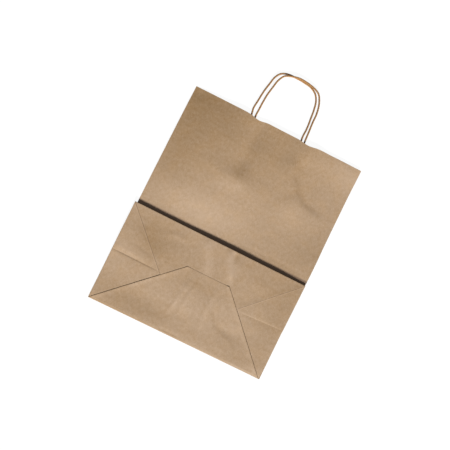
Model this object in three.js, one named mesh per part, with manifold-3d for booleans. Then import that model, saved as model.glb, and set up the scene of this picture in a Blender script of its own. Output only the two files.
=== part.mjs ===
// A flat-folded brown kraft paper carrier bag with two twisted paper handles, lying on its back.
// X runs across the bag, Y from the folded bottom edge to the mouth, Z up from the surface under it.
// The shapes are worked out from the middle of the bottom edge, and the whole is centred at the end.
import * as THREE from "three";
import { mergeVertices } from "three/addons/utils/BufferGeometryUtils.js";
import Module from "manifold-3d";

// Driving dimensions of the bag, in millimetres
const BAG_WIDTH = 320;
const BAG_DEPTH = 178;
const BAG_HEIGHT = 400;
const PAPER = 0.16;
const LAYER_GAP = 0.3;
const FLAP_PAST_MIDDLE = 30;
const EDGE_LIFT = 6.3;
const BODY_OFFSET = 2;

// Layers of paper that lie under the folded bottom near its folded edge, and at the hidden fold
const LAYERS_NEAR_EDGE = 3;
const LAYERS_AT_FOLD = 8;

// Plies that each gusset and each pair of patches put between the panels
const GUSSET_PLIES = 2;
const PATCH_PLIES = 2;

// Where the two plies of a gusset corner hang between the strip and the bottom, as shares of that gap
const UPPER_SHARE = 1 / 3;
const LOWER_SHARE = 2 / 3;

// How the folds are drawn
const CREASE_REACH = 4;
const FOLD_INSET = 1.5;
const GLUE_SINK = 0.01;
const GUSSET_COLUMNS = 6;
const LARGEST_STEP = 17;

// Handles and the pasted patches that hold them
const CORD_DIAMETER = 3.2;
const CORD_SIDES = 8;
const CORD_STEPS = 40;
const PATCH_WIDTH = 132;
const PATCH_HEIGHT = 42;
const PATCH_BELOW_MOUTH = 6;
const PATCH_CENTRE = 0.5;
const GLUED_LEG = 29;
const FRONT_LEGS = [-51, 45.4];
const BACK_LEGS = [-44, 52.2];

// The ridge that each leg presses into the patches, the tent that the front panel makes over all the legs,
// and how gently the panel comes down beside the patches and the gussets
const RIDGE_HALF = 2.2;
const PATCH_SLOPE = 3;
const TENT_SLOPE = 50;
const TENT_TAIL = 110;
const PANEL_EASE = 50;

// Soft swells of the front panel: centre across and along as shares of its half width and its height,
// spread and rise. They begin this far under the folded bottom and fade in over a length.
const SWELLS = [
  { across: -0.7, along: 0.825, spreadX: 32, spreadY: 60, rise: 6.8 },
  { across: -0.2, along: 0.71, spreadX: 56, spreadY: 34, rise: 6.6 },
  { across: -0.425, along: 0.575, spreadX: 58, spreadY: 24, rise: 3.4 },
  { across: 0.5, along: 0.73, spreadX: 18, spreadY: 21, rise: 2.3 },
  { across: 0.8, along: 0.99, spreadX: 57, spreadY: 21, rise: 3.4 },
  { across: 1.07, along: 0.52, spreadX: 34, spreadY: 28, rise: 3.3 },
  { across: -0.925, along: 0.99, spreadX: 31, spreadY: 12, rise: -1.5 },
];
const SWELL_START = 28;
const SWELL_FADE = 36;

// Dips of the mouth's edge, one beside each leg and a wide one between them: place, spread and depth
const MOUTH_DIPS = [
  { x: -37, spread: 8, depth: 2.9 },
  { x: 10, spread: 60, depth: 1.7 },
  { x: 59, spread: 10, depth: 3.2 },
];

// Routes of the handle cords, up from the patch, over, and down again: across the bag,
// past the mouth, and up from the surface
const FRONT_HANDLE_ROUTE = [
  [-51, -35, 3.5], [-51, -20, 3.5], [-51, -8, 3.5], [-52.6, 0.5, 3.6], [-54.4, 11.3, 3.4],
  [-53.2, 25.5, 3.2], [-51.2, 46.3, 3.1], [-48.3, 61.9, 3.1], [-45.2, 75.9, 3.2],
  [-39.6, 85.2, 3.1], [-32.6, 89.8, 2.6], [-23.3, 92.3, 1.9], [-11.9, 92.7, 1.7],
  [-2.1, 92.7, 1.7], [8.2, 91.8, 1.7], [18.8, 90, 1.7], [30, 83.5, 1.7], [36.9, 73, 1.7],
  [40.3, 59.5, 1.7], [42.3, 41.4, 1.8], [43.9, 23.1, 2.3], [43.6, 4.4, 3.3], [45.3, -8, 3.5],
  [45.4, -20, 3.5], [45.4, -35, 3.5],
];
const BACK_HANDLE_ROUTE = [
  [-44, -35, 2.55], [-44, -20, 2.55], [-44, -6, 2.6], [-45.2, 1.3, 2.8], [-44.9, 11.4, 3],
  [-44.6, 25.5, 3.2], [-43.5, 42.2, 3.5], [-40.7, 58.6, 3.9], [-37.7, 73.1, 4.5],
  [-31.6, 84.3, 5.1], [-23.5, 88.7, 5.6], [-14.4, 91.5, 5.6], [-6.2, 93.3, 5.5],
  [3.5, 93.3, 5.4], [14, 92.2, 5.4], [26.3, 89.3, 5.2], [35.4, 84.6, 4.8], [40.9, 76.7, 4.3],
  [45.3, 65.6, 3.8], [47.9, 50.6, 3.5], [48.2, 36.7, 3.4], [49.4, 20.9, 3.3], [50.2, 7.4, 3.1],
  [50.9, -1.6, 2.8], [52.2, -8, 2.55], [52.2, -20, 2.55], [52.2, -35, 2.55],
];

// Sizes that follow from the driving dimensions
const HALF_WIDTH = BAG_WIDTH / 2;
const HALF_DEPTH = BAG_DEPTH / 2;
const LAYER = PAPER + LAYER_GAP;
const INNER_FOLD = HALF_WIDTH - HALF_DEPTH;
const FLAP_LENGTH = HALF_DEPTH + FLAP_PAST_MIDDLE;
const FLAP_TIP = HALF_WIDTH - FLAP_LENGTH;
const FAR_FLAP_END = BAG_DEPTH - FLAP_LENGTH;
const FRONT_FOLD = HALF_DEPTH + FOLD_INSET;
const RIDGE_RISE = CORD_DIAMETER + LAYER_GAP;
const PATCH_TOP = BAG_HEIGHT - PATCH_BELOW_MOUTH;
const PATCH_BOTTOM = PATCH_TOP - PATCH_HEIGHT;
const PATCH_LEFT = PATCH_CENTRE - PATCH_WIDTH / 2;
const PATCH_RIGHT = PATCH_CENTRE + PATCH_WIDTH / 2;
const LEG_END = PATCH_TOP - GLUED_LEG - LAYER_GAP;

const KRAFT = { color: 0xb69c7c, roughness: 0.85, metalness: 0 };
const CORD_PAPER = { color: 0xa98556, roughness: 0.8, metalness: 0 };

const wasm = await Module();
wasm.setup();

const clamp = (value, low, high) => Math.min(Math.max(value, low), high);
const rising = (a, b) => a - b;

// 1 inside a span, falling to 0 over a slope on each side
function plateau(value, low, high, slope) {
  return clamp(Math.min(value - low, high - value) / slope + 1, 0, 1);
}

// How much of a height that holds at a crease is still felt at a distance from it
function nearCrease(own, atCrease, distance) {
  return own + (atCrease - own) * clamp(1 - distance / CREASE_REACH, 0, 1);
}

// Grid lines through the given places, with more between them where they lie too far apart
function gridLines(low, high, places) {
  const marks = [low, high, ...places.filter((place) => place > low && place < high)];
  marks.sort(rising);
  const lines = [marks[0]];
  for (const mark of marks.slice(1)) {
    const start = lines[lines.length - 1];
    const count = Math.ceil((mark - start) / LARGEST_STEP);
    for (let i = 1; i <= count; i += 1) {
      lines.push(start + ((mark - start) * i) / count);
    }
  }
  return lines;
}

// One ply of paper: a grid between two bounding lines, lifted to a height and given a thickness
function ply({ xs, ys, low, high, height }) {
  const points = [];
  for (const x of xs) {
    for (const yLine of ys) {
      const y = clamp(yLine, low(x), high(x));
      points.push(x, y, height(x, y));
    }
  }
  const cells = [];
  for (let i = 0; i < xs.length - 1; i += 1) {
    for (let j = 0; j < ys.length - 1; j += 1) {
      const corner = i * ys.length + j;
      const across = corner + ys.length;
      cells.push(corner, across, across + 1, corner, across + 1, corner + 1);
    }
  }
  const sheet = new THREE.BufferGeometry();
  sheet.setAttribute("position", new THREE.Float32BufferAttribute(points, 3));
  sheet.setIndex(cells);
  return thicken(mergeVertices(sheet));
}

// A closed solid from a sheet of triangles: the sheet, its copy one paper thickness up, and the walls
function thicken(sheet) {
  const source = sheet.getAttribute("position");
  const index = sheet.getIndex().array;
  const vertices = [];
  for (const rise of [0, PAPER]) {
    for (let i = 0; i < source.count; i += 1) {
      vertices.push(source.getX(i), source.getY(i), source.getZ(i) + rise);
    }
  }
  const faces = [];
  const edges = new Map();
  for (let i = 0; i < index.length; i += 3) {
    const [a, b, c] = [index[i], index[i + 1], index[i + 2]];
    if (a !== b && b !== c && c !== a) {
      faces.push(c, b, a, a + source.count, b + source.count, c + source.count);
      for (const [from, to] of [[a, b], [b, c], [c, a]]) {
        edges.set(`${from} ${to}`, [from, to]);
      }
    }
  }
  for (const [from, to] of edges.values()) {
    if (!edges.has(`${to} ${from}`)) {
      faces.push(from, to, to + source.count, from, to + source.count, from + source.count);
    }
  }
  return toSolid(vertices, faces);
}

function toSolid(vertices, faces) {
  const mesh = new wasm.Mesh({
    numProp: 3,
    vertProperties: new Float32Array(vertices),
    triVerts: new Uint32Array(faces),
  });
  return new wasm.Manifold(mesh);
}

function toGeometry(solid) {
  const { vertProperties, triVerts } = solid.getMesh();
  const geometry = new THREE.BufferGeometry();
  geometry.setAttribute("position", new THREE.Float32BufferAttribute(vertProperties, 3));
  geometry.setIndex(Array.from(triVerts));
  geometry.computeVertexNormals();
  return geometry;
}

// The same lines mirrored about an axis, in rising order again
const mirrored = (lines, axis = 0) => lines.map((line) => 2 * axis - line).reverse();

// Where the layers lie
const overPatch = (x, y, slope) => plateau(x, PATCH_LEFT, PATCH_RIGHT, slope)
  * clamp((y - PATCH_BOTTOM) / slope + 1, 0, 1);
const fromBodyMiddle = (x) => Math.abs(x - BODY_OFFSET);
const overGusset = (x, slope) => clamp((fromBodyMiddle(x) - INNER_FOLD) / slope + 1, 0, 1);

// The ridge over a set of legs, 0 to 1
function ridge(x, y, legs) {
  const across = legs.map((leg) => plateau(x, leg - RIDGE_HALF, leg + RIDGE_HALF, PATCH_SLOPE));
  return Math.max(...across) * clamp((y - LEG_END) / PATCH_SLOPE + 1, 0, 1);
}
const allLegs = [...BACK_LEGS, ...FRONT_LEGS];
const backRidge = (x, y) => ridge(x, y, BACK_LEGS);
const patchRidge = (x, y) => ridge(x, y, allLegs);

// The tent that spans from the outermost leg on one side to the one on the other, 0 to 1
const tentLeft = Math.min(...allLegs) - RIDGE_HALF;
const tentRight = Math.max(...allLegs) + RIDGE_HALF;
const tent = (x, y) => plateau(x, tentLeft, tentRight, TENT_SLOPE)
  * clamp((y - LEG_END) / TENT_TAIL + 1, 0, 1);

// A bell curve for swells and dips
const bell = (distance, spread) => Math.exp(-0.5 * (distance / spread) ** 2);

function swell(x, y) {
  const fade = clamp((y - BAG_DEPTH + SWELL_START) / SWELL_FADE, 0, 1);
  const sum = SWELLS.reduce(
    (total, s) => total + s.rise * bell(x - s.across * HALF_WIDTH, s.spreadX)
      * bell(y - s.along * BAG_HEIGHT, s.spreadY),
    0,
  );
  return fade * sum;
}

function mouthEdge(x) {
  const dip = MOUTH_DIPS.reduce((total, d) => total + d.depth * bell(x - d.x, d.spread), 0);
  return BAG_HEIGHT - dip;
}

// Lower faces of the layers that run up to the mouth, from the surface up
const gussetBackHeight = (x, y) => LAYER * (1 + PATCH_PLIES * overPatch(x, y, PATCH_SLOPE))
  + RIDGE_RISE * backRidge(x, y);
function panelHeight(x, y) {
  const between = GUSSET_PLIES * overGusset(x, PANEL_EASE) + 2 * PATCH_PLIES * overPatch(x, y, PANEL_EASE);
  return LAYER * (1 + between) + RIDGE_RISE * tent(x, y) + swell(x, y);
}

// Lower face of the bottom where it lies folded up over the front, rising to its sprung edge
const BOTTOM_PROFILE = [
  [0, 0],
  [HALF_DEPTH / GUSSET_COLUMNS, LAYERS_NEAR_EDGE * LAYER],
  [HALF_DEPTH, LAYERS_AT_FOLD * LAYER],
  [BAG_DEPTH, EDGE_LIFT],
];
function bottomHeight(y) {
  const last = BOTTOM_PROFILE.length - 1;
  const next = clamp(BOTTOM_PROFILE.findIndex(([at]) => at >= y), 1, last);
  const [y0, z0] = BOTTOM_PROFILE[next - 1];
  const [y1, z1] = BOTTOM_PROFILE[next];
  return z0 + ((z1 - z0) * (y - y0)) / (y1 - y0);
}

// Lower face of the strip that runs from the hidden front fold up to the sprung edge
function stripHeight(x, y) {
  const start = panelHeight(x, FRONT_FOLD);
  return start + ((EDGE_LIFT - start) * (y - FRONT_FOLD)) / (BAG_DEPTH - FRONT_FOLD);
}

const gussetColumns = Array.from(
  { length: GUSSET_COLUMNS + 1 },
  (_, i) => INNER_FOLD + (HALF_DEPTH * i) / GUSSET_COLUMNS,
);
const legEdges = allLegs.flatMap((leg) => [
  leg - RIDGE_HALF - PATCH_SLOPE, leg - RIDGE_HALF, leg + RIDGE_HALF, leg + RIDGE_HALF + PATCH_SLOPE,
]);
const tentEdges = [tentLeft - TENT_SLOPE, tentLeft, tentRight, tentRight + TENT_SLOPE];
const bothSides = (lines) => lines.flatMap((line) => [BODY_OFFSET - line, BODY_OFFSET + line]);
const patchEdges = (slope) => [PATCH_LEFT - slope, PATCH_LEFT, PATCH_RIGHT, PATCH_RIGHT + slope];
const dipLines = MOUTH_DIPS.map((dip) => dip.x);
const bodyMarks = [
  ...bothSides([INNER_FOLD - PANEL_EASE, INNER_FOLD, HALF_WIDTH - CREASE_REACH]),
  ...patchEdges(PANEL_EASE), ...tentEdges, ...dipLines,
];
const gussetMarks = [
  ...bothSides([INNER_FOLD + CREASE_REACH, HALF_WIDTH - CREASE_REACH]), ...patchEdges(PATCH_SLOPE),
];
const patchMarks = [
  ...bothSides([INNER_FOLD - PATCH_SLOPE, INNER_FOLD]), ...legEdges,
];
const alongMarks = [
  HALF_DEPTH + CREASE_REACH, BAG_DEPTH - SWELL_START, BAG_DEPTH, PATCH_BOTTOM - PANEL_EASE,
  PATCH_BOTTOM - PATCH_SLOPE, PATCH_BOTTOM, LEG_END - TENT_TAIL, LEG_END - PATCH_SLOPE, LEG_END, PATCH_TOP,
];
const bodyLeft = BODY_OFFSET - HALF_WIDTH;
const bodyRight = BODY_OFFSET + HALF_WIDTH;
const acrossBody = gridLines(bodyLeft, bodyRight, bodyMarks);

// Back panel: flat on the surface, from the folded bottom edge to the mouth
function backPanel() {
  return ply({
    xs: acrossBody,
    ys: [0, HALF_DEPTH, BAG_HEIGHT],
    low: () => 0,
    high: mouthEdge,
    height: () => 0,
  });
}

// Front panel: from its hidden fold, out from under the bottom, and up to the mouth
function frontPanel() {
  return ply({
    xs: acrossBody,
    ys: gridLines(FRONT_FOLD, BAG_HEIGHT, alongMarks),
    low: () => FRONT_FOLD,
    high: mouthEdge,
    height: panelHeight,
  });
}

// Strip between the hidden front fold and the sprung edge of the bottom
function frontStrip() {
  return ply({
    xs: acrossBody,
    ys: [FRONT_FOLD, BAG_DEPTH],
    low: () => FRONT_FOLD,
    high: () => BAG_DEPTH,
    height: stripHeight,
  });
}

// The four plies of one gusset: side is 1 on the right and -1 on the left
function gussetPlies(side) {
  const place = (distance) => BODY_OFFSET + side * distance;
  const order = (lines) => (side > 0 ? lines : mirrored(lines, BODY_OFFSET));
  const toSide = (x) => HALF_WIDTH - fromBodyMiddle(x);
  const toInner = (x) => fromBodyMiddle(x) - INNER_FOLD;
  const nearFold = (x) => toSide(x);
  const farFold = (x) => BAG_DEPTH - toSide(x);
  const low = Math.min(place(INNER_FOLD), place(HALF_WIDTH));
  const high = Math.max(place(INNER_FOLD), place(HALF_WIDTH));
  const xs = gridLines(low, high, gussetMarks);
  const columns = [...gussetColumns, INNER_FOLD + CREASE_REACH, HALF_WIDTH - CREASE_REACH];
  const cornerXs = order(columns.sort(rising).map((x) => x + BODY_OFFSET));
  const cornerYs = cornerXs.flatMap((x) => [nearFold(x), farFold(x)]).sort(rising);
  const ys = gridLines(HALF_DEPTH, BAG_HEIGHT, alongMarks);
  const backYs = [...cornerYs, ...ys].sort(rising);

  const backHeight = (x, y) => nearCrease(gussetBackHeight(x, y), 0, toSide(x));
  const frontHeight = (x, y) => {
    const level = gussetBackHeight(x, y) + LAYER;
    const atSide = nearCrease(level, panelHeight(x, y), toSide(x));
    return nearCrease(atSide, level - LAYER, toInner(x));
  };
  const between = (x, y, share) => stripHeight(x, y) + share * (bottomHeight(y) - stripHeight(x, y));
  const upperHeight = (x, y) => {
    const free = nearCrease(between(x, y, UPPER_SHARE), stripHeight(x, y), toSide(x));
    return nearCrease(free, frontHeight(x, HALF_DEPTH), y - HALF_DEPTH);
  };
  const lowerHeight = (x, y) => {
    const underStrip = (backHeight(x, y) + bottomHeight(y)) / 2;
    const free = y > HALF_DEPTH ? between(x, y, LOWER_SHARE) : underStrip;
    const atNear = nearCrease(free, backHeight(x, y), y - nearFold(x));
    const atFar = nearCrease(atNear, upperHeight(x, y), farFold(x) - y);
    return nearCrease(atFar, bottomHeight(y), toSide(x));
  };
  return [
    ply({ xs, ys: backYs, low: nearFold, high: mouthEdge, height: backHeight }),
    ply({ xs, ys, low: () => HALF_DEPTH, high: mouthEdge, height: frontHeight }),
    ply({ xs: cornerXs, ys: cornerYs, low: () => HALF_DEPTH, high: farFold, height: upperHeight }),
    ply({ xs: cornerXs, ys: cornerYs, low: nearFold, high: farFold, height: lowerHeight }),
  ];
}

// The pasted bottom: side flaps innermost, then the tucked corners, the far flap and the near flap
function bottomPlies() {
  const rowPlaces = [
    ...BOTTOM_PROFILE.map(([y]) => y), FAR_FLAP_END - CREASE_REACH, FAR_FLAP_END, FLAP_LENGTH,
  ].sort(rising);
  const columns = [...new Set(rowPlaces.flatMap((y) => [HALF_WIDTH - y, HALF_WIDTH - BAG_DEPTH + y]))]
    .filter((x) => x >= FLAP_TIP && x <= HALF_WIDTH)
    .sort(rising);
  const right = [...new Set([FLAP_TIP, ...columns, HALF_WIDTH])];
  const whole = [...mirrored(right), ...right];
  const nearEdge = (x) => HALF_WIDTH - Math.abs(x);
  const farEdge = (x) => BAG_DEPTH - nearEdge(x);
  const pastedOn = (y, count) => bottomHeight(y) + count * (PAPER - GLUE_SINK);
  const overFarFlap = (y) => clamp((y - FAR_FLAP_END) / CREASE_REACH + 1, 0, 1);
  const plies = [];
  for (const xs of [right, mirrored(right)]) {
    plies.push(ply({
      xs, ys: rowPlaces, low: () => 0, high: () => BAG_DEPTH, height: (x, y) => pastedOn(y, 0),
    }));
    plies.push(ply({
      xs, ys: rowPlaces, low: () => 0, high: nearEdge, height: (x, y) => pastedOn(y, 1),
    }));
    plies.push(ply({
      xs, ys: rowPlaces, low: farEdge, high: () => BAG_DEPTH, height: (x, y) => pastedOn(y, 1),
    }));
  }
  plies.push(ply({
    xs: whole,
    ys: rowPlaces,
    low: (x) => Math.max(FAR_FLAP_END, farEdge(x)),
    high: () => BAG_DEPTH,
    height: (x, y) => pastedOn(y, 2),
  }));
  plies.push(ply({
    xs: whole,
    ys: rowPlaces,
    low: () => 0,
    high: (x) => Math.min(FLAP_LENGTH, nearEdge(x)),
    height: (x, y) => pastedOn(y, 2 + overFarFlap(y)),
  }));
  return plies;
}

// A pasted paper patch that follows what lies under it
function patch(height) {
  return ply({
    xs: gridLines(PATCH_LEFT, PATCH_RIGHT, patchMarks),
    ys: gridLines(PATCH_BOTTOM, PATCH_TOP, alongMarks),
    low: () => PATCH_BOTTOM,
    high: () => PATCH_TOP,
    height,
  });
}

// A round cord along a smooth curve through its route
function cord(route) {
  const curve = new THREE.CatmullRomCurve3(
    route.map(([x, y, z]) => new THREE.Vector3(x, BAG_HEIGHT + y, z)),
  );
  const section = new THREE.Shape();
  for (let i = 0; i < CORD_SIDES; i += 1) {
    const angle = (2 * Math.PI * i) / CORD_SIDES;
    const [x, y] = [Math.cos(angle), Math.sin(angle)].map((share) => (share * CORD_DIAMETER) / 2);
    if (i === 0) {
      section.moveTo(x, y);
    } else {
      section.lineTo(x, y);
    }
  }
  section.closePath();
  return new THREE.ExtrudeGeometry(section, { steps: CORD_STEPS, extrudePath: curve });
}

function piece(name, geometry, finish) {
  const mesh = new THREE.Mesh(geometry, new THREE.MeshStandardMaterial(finish));
  mesh.name = name;
  return mesh;
}

const bodyPlies = [
  backPanel(), frontPanel(), frontStrip(), ...gussetPlies(1), ...gussetPlies(-1), ...bottomPlies(),
];
const body = bodyPlies.reduce((joined, layer) => joined.add(layer));

// Patches from the surface up, each with the ridge that the legs under it press into it
const gussetRoom = (x) => GUSSET_PLIES * overGusset(x, PATCH_SLOPE);
const none = () => 0;
const patches = [
  { name: "back_patch_backing", room: none, legs: none },
  { name: "back_patch_cover", room: none, legs: backRidge },
  { name: "front_patch_cover", room: gussetRoom, legs: backRidge },
  { name: "front_patch_backing", room: gussetRoom, legs: patchRidge },
];

const bag = new THREE.Group();
bag.add(piece("bag_body", toGeometry(body), KRAFT));
patches.forEach(({ name, room, legs }, below) => {
  const height = (x, y) => LAYER * (1 + below + room(x)) + RIDGE_RISE * legs(x, y);
  bag.add(piece(name, toGeometry(patch(height)), KRAFT));
});
bag.add(piece("back_handle_cord", cord(BACK_HANDLE_ROUTE), CORD_PAPER));
bag.add(piece("front_handle_cord", cord(FRONT_HANDLE_ROUTE), CORD_PAPER));

// The origin is under the middle of the lying bag
bag.position.set(-BODY_OFFSET / 2, -BAG_HEIGHT / 2, 0);

export default bag;
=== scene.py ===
import math

import bmesh
import bpy
import numpy as np
from mathutils import Matrix, Vector


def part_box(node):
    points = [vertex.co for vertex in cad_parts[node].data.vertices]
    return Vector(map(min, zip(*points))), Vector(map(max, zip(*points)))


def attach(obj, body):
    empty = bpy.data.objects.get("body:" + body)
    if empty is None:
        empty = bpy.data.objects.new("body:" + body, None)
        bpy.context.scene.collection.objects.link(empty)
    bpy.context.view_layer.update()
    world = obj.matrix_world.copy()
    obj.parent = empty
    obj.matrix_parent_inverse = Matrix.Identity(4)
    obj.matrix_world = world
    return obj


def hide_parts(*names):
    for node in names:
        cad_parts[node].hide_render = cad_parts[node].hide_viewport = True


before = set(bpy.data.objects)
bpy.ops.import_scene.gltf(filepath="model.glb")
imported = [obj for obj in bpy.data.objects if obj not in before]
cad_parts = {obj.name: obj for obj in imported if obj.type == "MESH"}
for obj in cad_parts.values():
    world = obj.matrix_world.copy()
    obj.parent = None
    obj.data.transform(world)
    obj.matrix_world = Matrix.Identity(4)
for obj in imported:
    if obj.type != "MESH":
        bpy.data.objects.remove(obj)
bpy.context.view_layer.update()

bl_info = {
    "name": "Folded Paper Carrier Bag",
    "version": (1, 0, 0),
    "blender": (4, 5, 0),
    "location": "View3D > Sidebar > Paper Bag",
    "description": "Makes a flat-folded kraft carrier bag with twisted paper handles",
    "category": "Add Mesh",
}

MM = 0.001
BODY_LOW, BODY_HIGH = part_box("bag_body")
PATCH_LOW, PATCH_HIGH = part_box("back_patch_backing")

# How far the body lies to the right of the turned-up bottom, and the shift that takes places from the middle
# of the folded bottom edge into the frame, whose origin is half way up the bag, in millimetres
BODY_OFFSET = 2.0
FRAME_SHIFT = (-BODY_OFFSET / 2, -200.0, 0.0)

# Routes of the handle cords: across the bag, past the mouth, and up from the surface
FRONT_ROUTE = (
    (-51, -35, 3.5), (-51, -20, 3.5), (-51, -8, 3.5), (-52.6, 0.5, 3.6), (-54.4, 11.3, 3.4),
    (-53.2, 25.5, 3.2), (-51.2, 46.3, 3.1), (-48.3, 61.9, 3.1), (-45.2, 75.9, 3.2), (-39.6, 85.2, 3.1),
    (-32.6, 89.8, 2.6), (-23.3, 92.3, 1.9), (-11.9, 92.7, 1.7), (-2.1, 92.7, 1.7), (8.2, 91.8, 1.7),
    (18.8, 90, 1.7), (30, 83.5, 1.7), (36.9, 73, 1.7), (40.3, 59.5, 1.7), (42.3, 41.4, 1.8),
    (43.9, 23.1, 2.3), (43.6, 4.4, 3.3), (45.3, -8, 3.5), (45.4, -20, 3.5), (45.4, -35, 3.5),
)
BACK_ROUTE = (
    (-44, -35, 2.55), (-44, -20, 2.55), (-44, -6, 2.6), (-45.2, 1.3, 2.8), (-44.9, 11.4, 3),
    (-44.6, 25.5, 3.2), (-43.5, 42.2, 3.5), (-40.7, 58.6, 3.9), (-37.7, 73.1, 4.5), (-31.6, 84.3, 5.1),
    (-23.5, 88.7, 5.6), (-14.4, 91.5, 5.6), (-6.2, 93.3, 5.5), (3.5, 93.3, 5.4), (14, 92.2, 5.4),
    (26.3, 89.3, 5.2), (35.4, 84.6, 4.8), (40.9, 76.7, 4.3), (45.3, 65.6, 3.8), (47.9, 50.6, 3.5),
    (48.2, 36.7, 3.4), (49.4, 20.9, 3.3), (50.2, 7.4, 3.1), (50.9, -1.6, 2.8), (52.2, -8, 2.55),
    (52.2, -20, 2.55), (52.2, -35, 2.55),
)

# Legs of the two handles, in millimetres across the bag
FRONT_LEGS = (FRONT_ROUTE[0][0], FRONT_ROUTE[-1][0])
BACK_LEGS = (BACK_ROUTE[0][0], BACK_ROUTE[-1][0])
# Rings of each cord, steps between two points of its route, and depth of its grooves over its radius
CORD_RINGS, ROUTE_STEPS, GROOVE_DEPTH = 860, 40, 0.07

# Soft swells of the front panel: centre across and along, spread across and along, rise
PANEL_SWELLS = (
    (-112, 330, 32, 60, 6.8), (-32, 284, 56, 34, 6.6), (-68, 230, 58, 24, 3.4), (80, 292, 18, 21, 2.3),
    (128, 396, 57, 21, 3.4), (171, 208, 34, 28, 3.3), (-148, 396, 31, 12, -1.5), (-28, 288, 17, 11, 1.3),
)
# Bends in the front panel: points along each, width, rise, and the kind where it isn't a ridge
PANEL_BENDS = (
    (((-31, 406), (-29, 350), (-27, 292)), 8.0, -1.5),
    (((61, 406), (63, 386), (68, 360)), 2.4, 0.5),
    (((52, 372), (62, 338), (80, 314)), 4.0, 2.0, "step"),
    (((66, 326), (97, 302), (146, 292)), 5.0, 1.6, "step"),
    (((14, 192), (90, 194), (166, 193)), 1.6, -0.25),
)
# Dips of the mouth's edge, one beside each leg and a wide one between them: place, spread and depth
LEFT_DIP, RIGHT_DIP = -37.0, 59.0
MOUTH_DIPS = ((LEFT_DIP, 8.0, 2.9), (10.0, 60.0, 1.7), (RIGHT_DIP, 10.0, 3.2))

# Swells and bends of the pasted bottom, written as those of the front panel are
BOTTOM_SWELLS = (
    (-74, 95, 43, 24, 1.2), (-77, 32, 40, 14, -1.2), (-17, 67, 22, 26, 1.2), (87, 47, 22, 18, -0.9),
    (50, 177, 17, 35, 0.7), (80, 143, 22, 10, 0.5), (-134, 54, 51, 17, -0.7), (156, 103, 14, 59, 1.2),
    (-126, 122, 47, 20, 1.2),
)
BOTTOM_BENDS = (
    (((-30, 184), (6, 112)), 4.0, 0.9),
    (((12, 184), (46, 122)), 3.4, 1.0),
    (((24, 184), (56, 122)), 3.4, -0.7),
    (((34, 184), (33, 156)), 1.8, -0.5),
    (((-50, 96), (-20, 92.5), (30, 92)), 2.4, -0.2),
    (((-16, 118), (-24, 66), (-34, 26)), 2.2, 0.45),
    (((-4, 110), (-12, 70), (-16, 34)), 1.8, 0.35),
    (((30, 112), (25, 70), (30, 30)), 2.2, 0.4),
    (((33, 92), (36, 68), (52, 48), (100, 34)), 4.0, 1.1, "step"),
    (((-172, 90), (-145, 91), (-66, 90.2)), 1.2, -0.75, "crease"),
    (((172, 92), (149, 91.4), (70, 87.5)), 1.6, -0.35, "crease"),
    (((-168, 101), (-140, 99), (-104, 96)), 1.8, 0.3),
    (((-136, 115), (-122, 114), (-92, 106)), 1.8, -0.6, "crease"),
    (((-96, 150), (-72, 158), (-48, 156)), 3.4, 0.4),
    (((-38, 4.6), (-12, 4.8), (10, 4.4)), 0.9, -0.5),
)
# Painted shade and light: places where the paper is painted darker and warmer as shade, or paler as light:
# centre, spread, and amount over the plain tone
PAINTED_SHADE_AND_LIGHT = (
    (-150, 392, 60, 60, 0.85), (-60, 216, 80, 36, -0.6), (0, 366, 50, 40, 0.35), (-140, 20, 30, 30, 0.35),
    (160, 400, 40, 40, -0.8), (0, 0, 400, 1.9, 2.9), (110, 18, 60, 20, 0.2), (-118, 142, 16, 18, 0.5),
    (-96, 122, 14, 14, 0.35), (2, 97, 24, 4, 0.6), (34, 170, 2.4, 7, 1.2), (-24, 296, 12, 9, 0.3),
    (-60, 26, 40, 12, 0.3), (-150, 70, 20, 60, -0.4), (-126, 272, 30, 30, 0.4), (-84, 140, 22, 24, 0.25),
    (86, 350, 30, 30, 0.2), (118, 158, 34, 26, 0.3), (146, 96, 18, 44, 0.3), (20, 60, 60, 22, -0.3),
    (122, 296, 45, 40, -0.35),
)
# How far the side folds of the turned-up bottom stand out at its sprung edge
SIDE_SPREAD = 1.4
# Painted highlights along crests, paler than the sheet, and one painted shade line that is darker: points
# along each, width and amount
PAINTED_LIGHT_LINES = (
    (((-24, 182), (8, 112)), 5.0, 0.7),
    (((18, 182), (48, 122)), 5.0, 0.9),
    (((-20, 112), (-26, 66), (-24, 22)), 2.4, 0.25),
    (((-6, 104), (-11, 70), (-8, 30)), 2.2, 0.2),
    (((31, 112), (28, 70), (34, 22)), 2.4, 0.25),
    (((-41, 404), (-39, 360), (-38, 306)), 5.0, 0.12),
    (((-38, 306), (-40, 290), (-46, 280)), 5.0, 0.25),
    (((-60, 264), (-30, 274), (-2, 284)), 5.0, 0.3),
    (((-160, 104), (-136, 100), (-106, 98)), 1.8, 0.3),
    (((56, 356), (72, 322), (96, 302), (140, 294)), 3.2, -0.3),
)
# Distance to a flap that stands for none being near
FAR_AWAY = 99.0
# Painted lines along the outline of each flap: attribute, share of the painted shade in the gap, share of the
# painted highlight past it
FLAP_PAINTED_LINES = (("inside_far_flap", 0.62, 0.22), ("inside_near_flap", 0.34, 0.1))
# Painted shade in the gap under the sprung edge: its darkness, how far past the edge it goes and over what
# way it fades, how far under the edge it starts, and how far below the edge a place lies that is in it
DEEP_SHARE, DEEP_REACH, DEEP_FADE, DEEP_START, DEEP_DROP = 0.75, 9.5, 4.0, 4.0, 1.6
# Waves that damp air leaves in paper: seed, number of waves, shortest and longest wave, slope of each
PANEL_WAVES = (3, 14, 12.0, 50.0, 0.004)
BOTTOM_WAVES = (8, 16, 9.0, 34.0, 0.006)
# A bend fades in over this share of its length from a first trace, a crease falls so many times more slowly
# on one side, and a step dies away over so many widths
BEND_FADE, BEND_TRACE, SLOW_SIDE, STEP_REACH = 0.3, 0.02, 4, 5

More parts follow.
